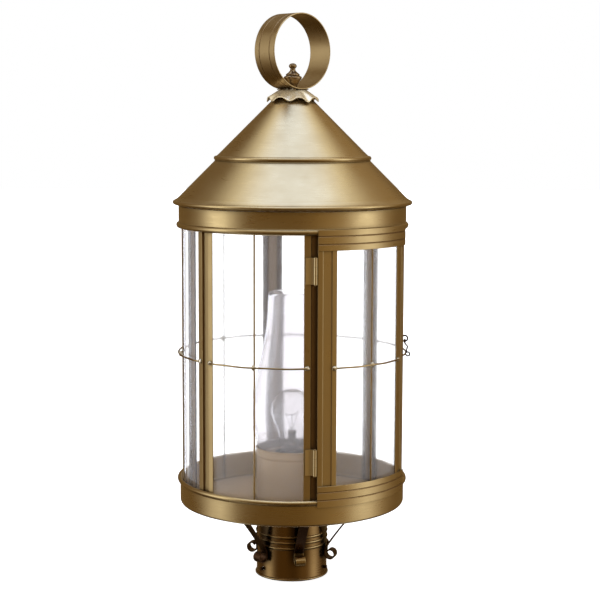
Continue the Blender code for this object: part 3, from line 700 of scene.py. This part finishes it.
def bent_plate(out_radius, thick, half, steps):
    """The plan of a sheet bent round the axis."""
    bearings = [half * (2 * i / steps - 1) for i in range(steps + 1)]
    outer = [polar(out_radius, b) for b in bearings]
    inner = [polar(out_radius - thick, b) for b in reversed(bearings)]
    return [(p.x, p.y) for p in outer + inner]


def bent_wire(radius, end_radius, half, turn):
    """A wire bent round the cage that dips to the strip at each end."""
    points = []
    steps = 48
    for i in range(steps + 1):
        share = abs(2 * i / steps - 1)
        dip = max(0.0, (share - 0.86) / 0.14) ** 2
        reach = radius + (end_radius - radius) * dip
        sway = 0.0002 * math.sin(5 * math.pi * i / steps + turn)
        points.append(polar(reach, turn + half * (2 * i / steps - 1), CROSS_Z + sway))
    return points


def guard(name, body, points, node):
    """A guard wire along the points."""
    wire = bmesh.new()
    tube(wire, points, WIRE_R)
    return new_piece(name, body, BRASS_WIRE, wire, node)


def upright_run(radius, bearing, low, high):
    """The points of a straight upright wire."""
    foot, head = polar(radius, bearing, low), polar(radius, bearing, high)
    return [foot.lerp(head, i / 12) for i in range(13)]


def end_drop(solder, radius, bearing, seed):
    """The solder at the end of a cross wire."""
    place = polar(radius, bearing, CROSS_Z)
    drop(solder, place, polar(1, bearing + 90), place.xy.to_3d(), DROP_LONG, DROP_WIDE, 0.0015, seed)


def make_fixed_panels():
    low, high = heights("pane_1")
    plan = bent_plate(PANE_R, PANE_THICK, PANE_HALF, PANE_STEPS)
    solder = bmesh.new()
    half = PANEL / 2 - degrees_of(0.0085, POST_R)
    end_r = POST_R + 0.0014
    for number in range(1, PANELS):
        bearing = PANEL * number
        shape = extruded(plan, low, high, turn=bearing)
        pane = FLAT_GLASS if number == FLAT_PANE else PANE_GLASS
        new_piece(f"glass_panel_{number}", "lantern", pane, shape, f"pane_{number}")
        upright = upright_run(UPRIGHT_R, bearing, low, high)
        cross = bent_wire(CROSS_R, end_r, half, bearing)
        for kind, points in (("upright", upright), ("cross", cross)):
            wire = guard(f"guard_{kind}_{number}", "lantern", points, f"{kind}_wire_{number}")
            recoat(wire, INSIDE, lambda at, n: outward(at, n) < 0.1)
        for side in (-1, 1):
            end_drop(solder, end_r - 0.0004, bearing + side * half, number + side)
        place = polar(0.1262, bearing, CROSS_Z)
        drop(solder, place, UP, place.xy.to_3d(), DROP_LONG, DROP_WIDE, 0.0024, number * 3)
    new_piece("solder_drops", "lantern", SOLDER, solder)


def make_top_band():
    low, top = heights("top_band")
    inner = 0.1258
    bead = (0.1263, low + 0.0033)
    outline = [(0.1270, top), (0.1270, bead[1] + 0.0040), *arc(bead, 0.0033, 75, -90, 12)]
    outline += [(inner, low), (inner, top)]
    shape = turned(rounded(outline, 0.0004))
    new_piece("top_band_ring", "lantern", BRASS, shape, "top_band")


# ---------------------------------------------------------------- the door


def make_door():
    inner = DOOR_R - 0.0009
    for name in ("door_top_band", "door_bottom_band"):
        low, high = heights(name)
        outline = [(inner, high), (DOOR_R, high)]
        for groove in (high - 0.0068, high - 0.0152):
            outline += [(DOOR_R, groove + 0.0008), (DOOR_R - 0.00045, groove), (DOOR_R, groove - 0.0008)]
        outline += [(DOOR_R, low), (inner, low)]
        shape = swept(rounded(outline, 0.0003, steps=3), DOOR_HALF, 72)
        rail = new_piece(name + "_rail", "door", BRASS, shape, name)
        # Painted shade in the rail's pressed grooves.
        recoat(rail, GROOVE_SHADE, lambda at, n: abs(n.z) > 0.12 and DOOR_R - 0.0006 < at.xy.length < DOOR_R + 0.0001
               and min(high - at.z, at.z - low) > 0.002)
    low, high = heights("door_hinge_stile")
    plan = channel(STILE_R, STILE_WIDE, STILE_SHEET, STILE_GROOVE_HALF, STILE_GROOVE)
    middle = DOOR_HALF - degrees_of(STILE_WIDE / 2, STILE_R)
    for name, side in (("door_hinge_stile", -1), ("door_latch_stile", 1)):
        grooved_strip(name + "_strip", "door", plan, low, high, side * middle, STILE_R, name)
    low, high = heights("door_pane")
    shape = extruded(bent_plate(DOOR_PANE_R, PANE_THICK, DOOR_PANE_HALF, PANE_STEPS), low, high)
    new_piece("door_glass", "door", PANE_GLASS, shape, "door_pane")
    guard("door_guard_upright", "door", upright_run(DOOR_UPRIGHT_R, 0, low, high), "door_upright_wire")
    half = middle - degrees_of(0.0080, STILE_R)
    guard("door_guard_cross", "door", bent_wire(0.1312, 0.1314, half, 0.0), "door_cross_wire")
    solder = bmesh.new()
    for side in (-1, 1):
        end_drop(solder, 0.1308, side * half, 7 + side)
    drop(solder, polar(0.1300, 0, CROSS_Z), UP, -Vector((0, 1, 0)), DROP_LONG, DROP_WIDE, 0.0023, 11)
    new_piece("door_solder_drops", "door", SOLDER, solder)


# ---------------------------------------------------------------- the roof


def make_lower_cone():
    low = heights("lower_cone")[0]
    tip = (0.1313, 0.4242)
    start, end = 0.0760, 0.1245
    hem = smooth_run([(end, LOWER_SLOPE - end), (0.1264, 0.4299), (0.1290, 0.4279), (0.1306, 0.4269)], 4)
    run = [start + (end - start) * i / 20 for i in range(20)]
    face = [(r, LOWER_SLOPE - r) for r in run]
    outline = [Vector(p) for p in face] + hem[:-1] + [Vector(p) for p in arc(tip, 0.0022, 92, -80, 14)]
    outline += [Vector(p) for p in ((0.1292, 0.4213), (0.1276, low), (0.1246, low))]
    inside = LOWER_SLOPE - 0.0010 * math.sqrt(2)
    outline += [Vector((0.1240, inside - 0.1240)), Vector((0.0753, inside - 0.0753))]
    shape = turned(outline, 256, wobble=0.0001)
    new_piece("lower_roof", "lantern", BRASS, shape, "lower_cone")


def make_upper_cone():
    top = heights("upper_cone")[1]
    start, end = UPPER_SLOPE - top, 0.0812
    run = [start + (end - start) * i / 24 for i in range(25)]
    face = [(r, UPPER_SLOPE - r) for r in run]
    hem = smooth_run([face[-1], (0.0826, 0.4770), (0.0842, 0.4756), (0.0855, 0.4752)], 4)[1:-1]
    roll = arc((0.0853, 0.4729), 0.0023, 88, -60, 12)
    inside = LOWER_SLOPE + 0.0007
    outline = [(0.0028, top), (start - 0.0010, top), (start - 0.0002, top - 0.0001)] + face[1:]
    outline += [tuple(p) for p in hem] + roll
    outline += [(inside - 0.4702, 0.4702), (inside - 0.5450, 0.5450), (0.0028, 0.5450)]
    shape = turned(outline, 224, wobble=0.0001)
    new_piece("upper_roof", "lantern", BRASS, shape, "upper_cone")


def make_petal_cap():
    """A fluted cap: a flat disc that turns down into eight uneven petals, its edge raised between them."""
    around, wall = 320, 0.0009
    top = heights("petal_cap")[1] - wall / 2
    rows = [[polar(r, 360 * i / around, top - d) for i in range(around)]
            for r, d in ((0.0028, 0.0), (0.0090, 0.0), (0.0144, 0.0001), (0.0158, 0.0005))]
    for k in range(1, 13):
        share = k / 12
        row = []
        for i in range(around):
            bearing = 360 * i / around
            turn = math.radians(bearing - PETAL_TURN)
            sway = 0.32 * math.sin(3 * turn + 0.6) + 0.18 * math.sin(5 * turn)
            petal = 0.5 + 0.5 * math.cos(PETALS * turn + sway)
            uneven = 0.0005 * math.sin(2 * turn + 1.1) + 0.0003 * math.sin(5 * turn + 2.0)
            reach = 0.0160 + (0.0120 + 0.0006 * petal + uneven) * share
            fall = 0.0080 + 0.0044 * petal**1.4 + uneven
            curl = 0.0005 * max(0.0, share - 0.75) / 0.25
            drape = 0.0006 + fall * share - 0.0008 * share * (1 - share) - curl
            row.append(polar(reach, bearing, top - drape))
        rows.append(row)
    shape = bmesh.new()
    skin(shape, rows)
    piece = new_piece("petal_collar", "lantern", CAP_BRASS_PAINTED_SHEEN, shape, "petal_cap")
    solid = piece.modifiers.new("Sheet", "SOLIDIFY")
    solid.thickness = wall
    solid.offset = 0
    solid.use_even_offset = True
    solder = bmesh.new()
    for side in (-1, 1):
        for y, long in ((-0.0105, 0.0048), (0.0, 0.0075), (0.0110, 0.0042)):
            place = Vector((side * 0.0088, y, HOOP_Z - HOOP_R + 0.0001))
            drop(solder, place, Vector((0, 1, 0)), UP, long, 0.0030, 0.0009, side + y * 300)
    new_piece("hoop_solder", "lantern", SOLDER, solder)


def make_hoop():
    half = HOOP_WIDE / 2
    outline = [(HOOP_R - 0.0004, half), (HOOP_R, half - 0.0004)]
    for line in (0.0083, -0.0083):
        outline += [(HOOP_R, line + 0.0007), (HOOP_R - 0.0004, line), (HOOP_R, line - 0.0007)]
    outline += [(HOOP_R, -half + 0.0004), (HOOP_R - 0.0004, -half)]
    outline += [(HOOP_R - 0.0012, -half), (HOOP_R - 0.0012, half)]
    stand = Matrix.Translation((0, 0, HOOP_Z)) @ Matrix.Rotation(math.radians(90), 4, "X")
    shape = turned(rounded(outline, 0.0003, steps=3), 192, matrix=stand)
    hoop = new_piece("hoop_ring", "lantern", BRASS_HOOP, shape, "hoop")
    # Painted shade in the hoop's two pressed lines.
    recoat(hoop, GROOVE_SHADE, lambda at, n: abs(n.y) > 0.12 and 0.007 < abs(at.y) < 0.0095)


def make_finial():
    seat = HOOP_Z - HOOP_R + 0.0019
    outline = [(BALL_SQUASH * r, z) for r, z in arc((0, 0.5739), 0.0032, 90, -52, 14)]
    outline[0] = (0.0, outline[0][1])
    outline += smooth_run([(0.0029, 0.5706), (0.0030, 0.5695), (0.0040, 0.5680), (0.0058, 0.5663)], 4)
    outline += [(0.0074, 0.5652), (0.0078, 0.5643), (0.0074, 0.5636)]
    outline += smooth_run([(0.0082, 0.5632), (0.0097, 0.5622), (0.0101, 0.5609), (0.0095, 0.5595)], 4)
    outline += smooth_run([(0.0081, 0.5578), (0.0068, 0.5555), (0.0052, 0.5530), (0.0046, seat)], 4)
    outline += [(0.0024, seat), (0.0024, 0.5362), (0.0, 0.5362)]
    shape = turned([tuple(p) for p in outline], 48, closed=False)
    new_piece("finial_turned", "lantern", FINIAL_BRASS, shape, "finial")


# ---------------------------------------------------------------- the lamp


def make_pedestal():
    low = heights("pedestal")[0]
    inner, shelf, mouth = PEDESTAL_R - 0.0012, PEDESTAL_TOP - 0.0012, 0.0203
    rim = (PEDESTAL_R + 0.0005, PEDESTAL_RIM - 0.0009)
    outline = [*arc(rim, 0.0009, 110, -60, 8), (PEDESTAL_R + 0.0008, PEDESTAL_RIM - 0.0030)]
    outline += [(PEDESTAL_R + 0.0008, PEDESTAL_TOP), (PEDESTAL_R, shelf - 0.0012), (PEDESTAL_R, low)]
    outline += [(inner, low), (inner, shelf), (mouth, shelf), (mouth, PEDESTAL_TOP)]
    outline += [(PEDESTAL_R - 0.0003, PEDESTAL_TOP), (PEDESTAL_R - 0.0003, PEDESTAL_RIM - 0.0006)]
    shape = turned(rounded(outline, 0.0004), 128)
    new_piece("pedestal_drum", "lantern", DRUM, shape, "pedestal")


def make_bulb():
    """A clear lamp: blown envelope, glass stem, lead wires and a bowed filament, in a screw cap."""
    low = heights("bulb")[0]
    cap_top = low + 0.0245
    centre = BULB_TOP - BULB_R
    outer = arc((0, centre), BULB_R, 90, -28, 20)
    outer += smooth_run([outer[-1], (0.0168, centre - 0.0208), (0.0142, centre - 0.0310),
                         (0.0128, 0.1440), (0.0128, cap_top + 0.0010)], 5)[1:]
    outer = [tuple(p) for p in outer]
    inner = [(max(0.0, r - 0.0006), z - (0.0006 if r < 0.008 else 0)) for r, z in reversed(outer)]
    shape = turned(outer + inner, 80)
    new_piece("bulb_envelope", "lantern", BULB_GLASS, shape, "bulb")
    stem = smooth_run([(0.0110, cap_top + 0.0012), (0.0052, 0.1490), (0.0045, 0.1600), (0.0050, 0.1635)], 4)
    stem = [(p[0], p[1]) for p in stem] + [(0.0036, 0.1650), (0.0, 0.1655)]
    rod = turned(stem, 32, closed=False)
    new_piece("bulb_stem", "lantern", BULB_GLASS, rod)
    wires = bmesh.new()
    for side in (-1, 1):
        lead = [(side * 0.0022, 0, 0.1600), (side * 0.0034, 0, 0.1720), (side * 0.0095, 0, 0.1850)]
        tube(wires, smooth_run(lead, 6), 0.00030, 8)
    tube(wires, [(0, 0, 0.1650), (0, 0, 0.1750), (0, 0, 0.1835)], 0.00045, 8)
    coil = []
    turns, steps = 26, 26 * 8
    for i in range(steps + 1):
        share = i / steps
        x = 0.0095 * (2 * share - 1)
        sag = 0.0026 * (1 - (2 * share - 1) ** 2)
        angle = 2 * math.pi * turns * share
        coil.append((x, 0.0005 * math.sin(angle), 0.1850 - sag + 0.0005 * math.cos(angle)))
    tube(wires, coil, 0.00012, 6)
    new_piece("bulb_wires", "lantern", TUNGSTEN, wires)
    thread = [(0.0, low), (0.0045, low), (0.0070, low + 0.0012), (0.0125, low + 0.0040)]
    for i in range(40):
        thread.append((0.0126 + 0.0004 * math.cos(2 * math.pi * i / 8), low + 0.0045 + 0.0180 * i / 39))
    thread += [(0.0130, cap_top), (0.0124, cap_top + 0.0008), (0.0, cap_top + 0.0008)]
    cap = turned(thread, 64, closed=False)
    new_piece("bulb_cap", "lantern", STEEL, cap)


def make_chimney():
    foot = heights("chimney")[0]
    line = [(0.0255, 0.3220), (0.0285, 0.2800), (0.0385, 0.2330), (0.0468, 0.1870)]
    line += [(0.0405, 0.1550), (0.0380, 0.1460), (0.0380, foot + 0.0006)]
    run = smooth_run(line, 14)
    half = CHIMNEY_WALL / 2
    outer, inner = [], []
    for i, here in enumerate(run):
        ahead = (run[min(i + 1, len(run) - 1)] - run[max(i - 1, 0)]).normalized()
        across = Vector((-ahead.y, ahead.x))
        outer.append(here + across * half)
        inner.append(here - across * half)
    rim = [Vector(p) for p in arc((run[0].x, run[0].y), half * 1.05, 160, 20, 6)]
    heel = [Vector(p) for p in arc((run[-1].x, run[-1].y), half * 0.6, 0, -180, 6)]
    outline = rim + outer[1:] + heel + inner[:0:-1]
    new_piece("chimney_tube", "chimney", CHIMNEY_GLASS, turned(outline, 128), "chimney")


# ---------------------------------------------------------------- small hardware


def dress(name, material, bevel=0.00025):
    """A CAD node that stays as it is, with eased edges and its own finish."""
    node = NODES[name]
    node.data.materials.clear()
    node.data.materials.append(material)
    node.data.shade_smooth()
    node.data.set_sharp_from_angle(angle=math.radians(35))
    if bevel:
        eased = node.modifiers.new("Eased", "BEVEL")
        eased.width = bevel
        eased.segments = 2
        eased.limit_method = "ANGLE"
        eased.angle_limit = math.radians(40)
        eased.use_clamp_overlap = True
        eased.harden_normals = False


def make_latch():
    out = polar(1, LATCH_BEARING)
    along = Vector((out.y, -out.x, 0))
    centre = polar(0.1292, LATCH_BEARING, LATCH_Z)
    stem = polar(POST_R + 0.0003, LATCH_BEARING, LATCH_Z)
    ring = [centre + out * x + UP * y for x, y in arc((0, 0), 0.0032, 180, -145, 40)]
    eye = bmesh.new()
    tube(eye, [stem, *ring], 0.0009)
    new_piece("latch_ring", "lantern", BRONZE, eye, "latch_eye")
    pivot = centre - UP * 0.0032
    loop = [pivot + along * x + UP * y for x, y in arc((0, 0), 0.0020, -25, 262, 32)]
    arm = [(0.0009, -0.0032), (0.0030, -0.0056), (0.0024, -0.0086), (0.0020, -0.0112)]
    arm += arc((0.0036, -0.0142), 0.0022, 140, -170, 16)
    reach = [pivot + out * x + UP * y for x, y in arm]
    hook = bmesh.new()
    tube(hook, loop + smooth_run(reach, 4), 0.0008)
    new_piece("latch_wire_hook", "latch_hook", BRONZE, hook, "latch_hook")


def make_hardware():
    make_latch()
    for place in ("lower", "upper"):
        dress(f"{place}_hinge_post_leaf", BRASS_RUBBED, 0.0004)
        dress(f"{place}_hinge_door_leaf", BRASS_RUBBED)
        dress(f"{place}_hinge_pin", BRASS_WIRE, 0.0001)
    for number in (1, 2, 3):
        dress(f"set_screw_{number}", BRONZE, 0.0001)
    dress("finial_nut", STEEL)
    dress("socket_bolt", STEEL)
    dress("socket", PHENOLIC)


# ---------------------------------------------------------------- floor, camera and light


def make_floor():
    shape = bmesh.new()
    bmesh.ops.create_circle(shape, cap_ends=True, segments=96, radius=9.0)
    floor = add("floor", mesh_of("floor", shape))
    floor.location.z = -0.0004
    n = Nodes("pale_floor")
    n.shader.inputs["Base Color"].default_value = (0.90, 0.90, 0.90, 1)
    n.shader.inputs["Roughness"].default_value = 0.9
    n.shader.inputs["Emission Color"].default_value = (1, 1, 1, 1)
    n.shader.inputs["Emission Strength"].default_value = 0.75
    floor.data.materials.append(n.material)
    floor.visible_glossy = False


def make_camera():
    camera = add("camera", bpy.data.cameras.new("camera"))
    aside = polar(1, CAMERA_BEARING + 90)
    camera.location = polar(CAMERA_AWAY, CAMERA_BEARING, CAMERA_HEIGHT) + aside * CAMERA_ASIDE
    pitch = math.radians(CAMERA_PITCH)
    ahead = -polar(1, CAMERA_BEARING) * math.cos(pitch) + UP * math.sin(pitch)
    turn = ahead.to_track_quat("-Z", "Y").to_matrix()
    roll = Matrix.Rotation(math.radians(CAMERA_ROLL), 3, "Z")
    camera.rotation_euler = (turn @ roll).to_euler()
    camera.data.lens = CAMERA_LENS
    camera.data.sensor_width = 36
    camera.data.clip_end = 60
    bpy.context.scene.camera = camera


def make_lamp():
    """A soft square lamp that faces the lantern and isn't itself seen or mirrored."""
    lamp = bpy.data.lights.new("top_box", "AREA")
    lamp.shape = "RECTANGLE"
    lamp.size = lamp.size_y = LAMP_SIDE
    lamp.energy = LAMP_POWER
    lamp.color = (1.0, 0.98, 0.95)
    holder = add("top_box", lamp)
    holder.location = polar(LAMP_AWAY, CAMERA_BEARING + LAMP_TURN, LAMP_HEIGHT)
    facing = Vector((0, 0, LAMP_AIM)) - holder.location
    holder.rotation_euler = facing.to_track_quat("-Z", "Y").to_euler()
    holder.visible_camera = False
    holder.visible_transmission = False
    holder.visible_glossy = False


def make_world():
    """White behind the lantern. Its metal mirrors a dim warm room with a tall soft lamp on each side."""
    world = bpy.data.worlds.new("studio")
    world.use_nodes = True
    bpy.context.scene.world = world
    world.node_tree.nodes.clear()
    tree = Tree(world.node_tree)
    maths, blend = tree.maths, tree.blend

    def toward(direction):
        made = tree.node("ShaderNodeVectorMath", {"operation": "DOT_PRODUCT"})
        tree.feed(made.inputs[0], place)
        tree.feed(made.inputs[1], direction)
        return made.outputs["Value"]

    def ramp(*numbers):
        return tree.spread(*numbers, kind="SMOOTHSTEP")

    place = tree.node("ShaderNodeTexCoord").outputs["Generated"]
    climb = toward((0, 0, 1))
    front, side = polar(1, CAMERA_BEARING), polar(1, CAMERA_BEARING + 90)
    turn = maths("ARCTAN2", toward(side), toward(front))
    away = maths("DIVIDE", maths("SUBTRACT", maths("ABSOLUTE", turn), SIDE_TURN), SIDE_SPREAD)
    lift = ramp(climb, -0.40, -0.05, 0.30, 1.0)
    boxes = maths("EXPONENT", maths("MULTIPLY", maths("MULTIPLY", away, away), -1.0))
    boxes = maths("MULTIPLY", boxes, maths("MULTIPLY", ramp(climb, 0.75, 0.45), lift))
    boxes = maths("MULTIPLY", boxes, ramp(turn, -1.4, 1.4, 1.0, 0.85))
    high = ramp(climb, 0.25, 0.45)
    fill = maths("MULTIPLY", ramp(turn, 0.15, 0.7), maths("MAXIMUM", ramp(turn, 2.3, 1.6), high))
    rise = maths("DIVIDE", maths("SUBTRACT", climb, 0.55), 0.10)
    strip = maths("EXPONENT", maths("MULTIPLY", maths("MULTIPLY", rise, rise), -1.0))
    strip = maths("MULTIPLY", strip, ramp(maths("ABSOLUTE", turn), 2.1, 1.3, 0.0, 0.55))
    room_wall = blend(ramp(climb, -0.75, -0.25), ROOM_LOW, blend(fill, ROOM_DARK, ROOM_FILL))
    lit = blend(boxes, room_wall, ROOM_SIDE)
    lit = blend(strip, lit, ROOM_SIDE)
    lit = blend(ramp(climb, 0.66, 0.92), lit, ROOM_HIGH)
    lit = blend(ramp(climb, 0.84, 1.0), lit, ROOM_TOP)
    room = tree.node("ShaderNodeBackground", Color=lit).outputs[0]
    white = tree.node("ShaderNodeBackground", Color=(1, 1, 1, 1)).outputs[0]
    path = tree.node("ShaderNodeLightPath").outputs
    dull = maths("MAXIMUM", path["Is Transmission Ray"], path["Is Diffuse Ray"])
    direct = maths("MULTIPLY", dull, maths("LESS_THAN", path["Glossy Depth"], 0.5))
    mix = tree.node("ShaderNodeMixShader")
    for number, value in enumerate((maths("MAXIMUM", path["Is Camera Ray"], direct), room, white)):
        tree.feed(mix.inputs[number], value)
    tree.node("ShaderNodeOutputWorld", Surface=mix.outputs[0])


make_collar()
for number in range(1, PANELS + 1):
    make_bracket(number)
make_pan()
make_posts()
make_fixed_panels()
make_top_band()
make_door()
make_lower_cone()
make_upper_cone()
make_petal_cap()
make_hoop()
make_finial()
make_pedestal()
make_bulb()
make_chimney()
make_hardware()
make_floor()
make_camera()
make_world()
make_lamp()
bpy.context.scene.view_settings.view_transform = "Standard"
